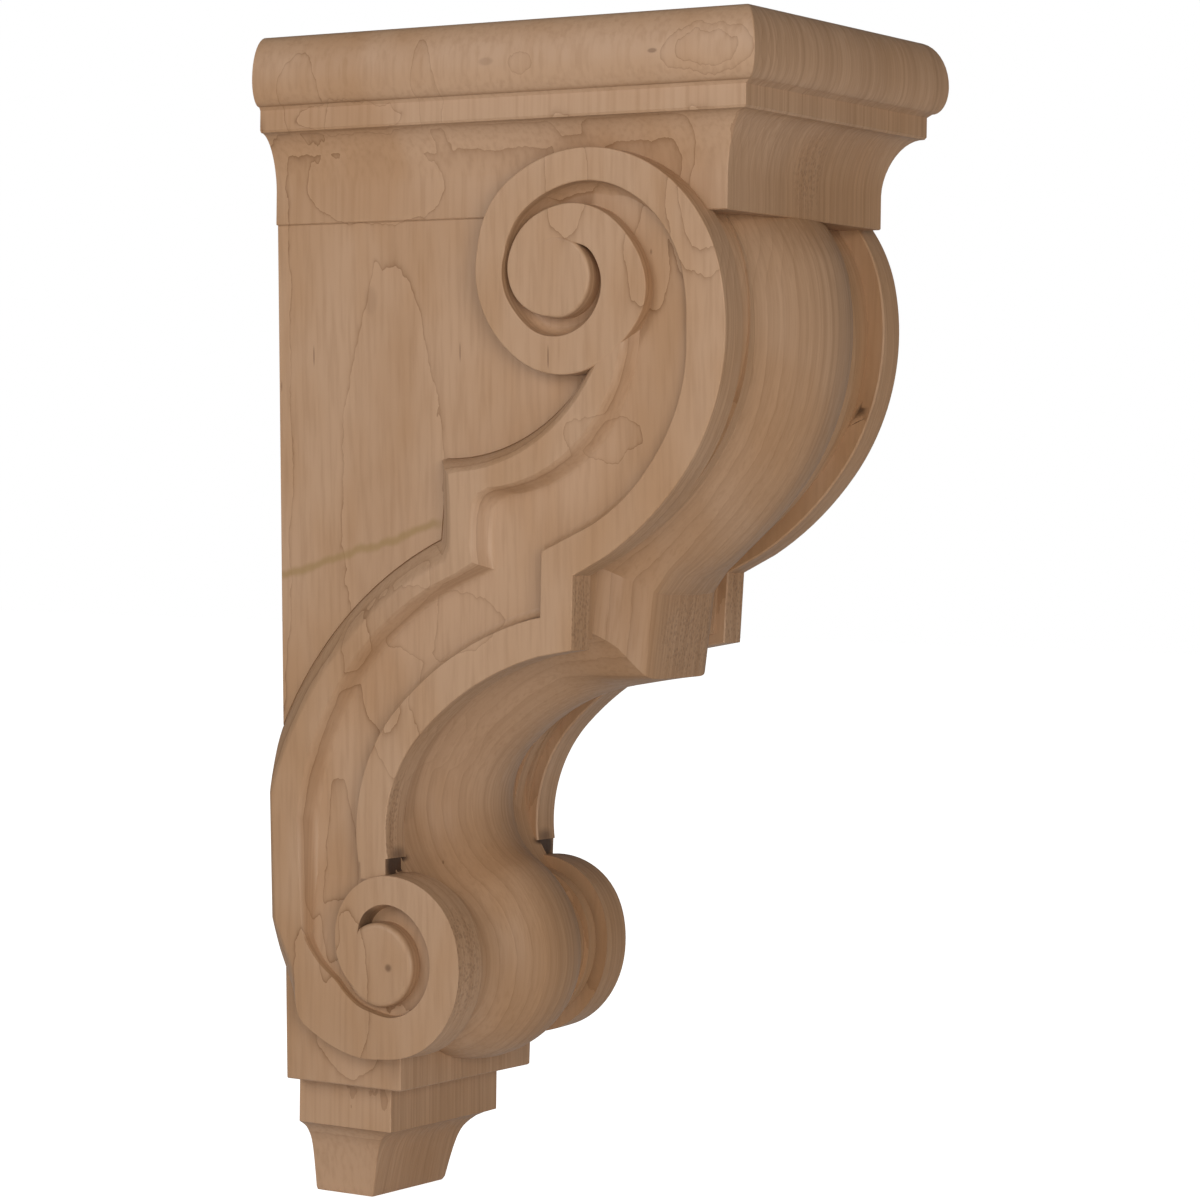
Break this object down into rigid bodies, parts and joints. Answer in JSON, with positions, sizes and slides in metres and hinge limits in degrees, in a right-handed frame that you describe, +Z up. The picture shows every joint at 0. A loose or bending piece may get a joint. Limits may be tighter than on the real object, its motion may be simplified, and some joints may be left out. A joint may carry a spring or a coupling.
{
  "type": "moulded corbel",
  "caption": "Carved scroll corbel in solid maple: a moulded cap over a tapering body with a scroll on each side, a rib down the front and a small stepped foot.",
  "frame": {"origin": "on the flat back face, on its centre line, halfway up", "axes": "+Z up, +Y into the wall, so the front faces -Y; +X to the right of someone facing the wall"},
  "size_m": [0.1148, 0.1765, 0.3556],
  "materials": {
    "maple": "unfinished hard maple, sanded smooth, with a faint satin sheen"
  },
  "bodies": {
    "root": {"corbel": "maple"}
  },
  "joints": []
}
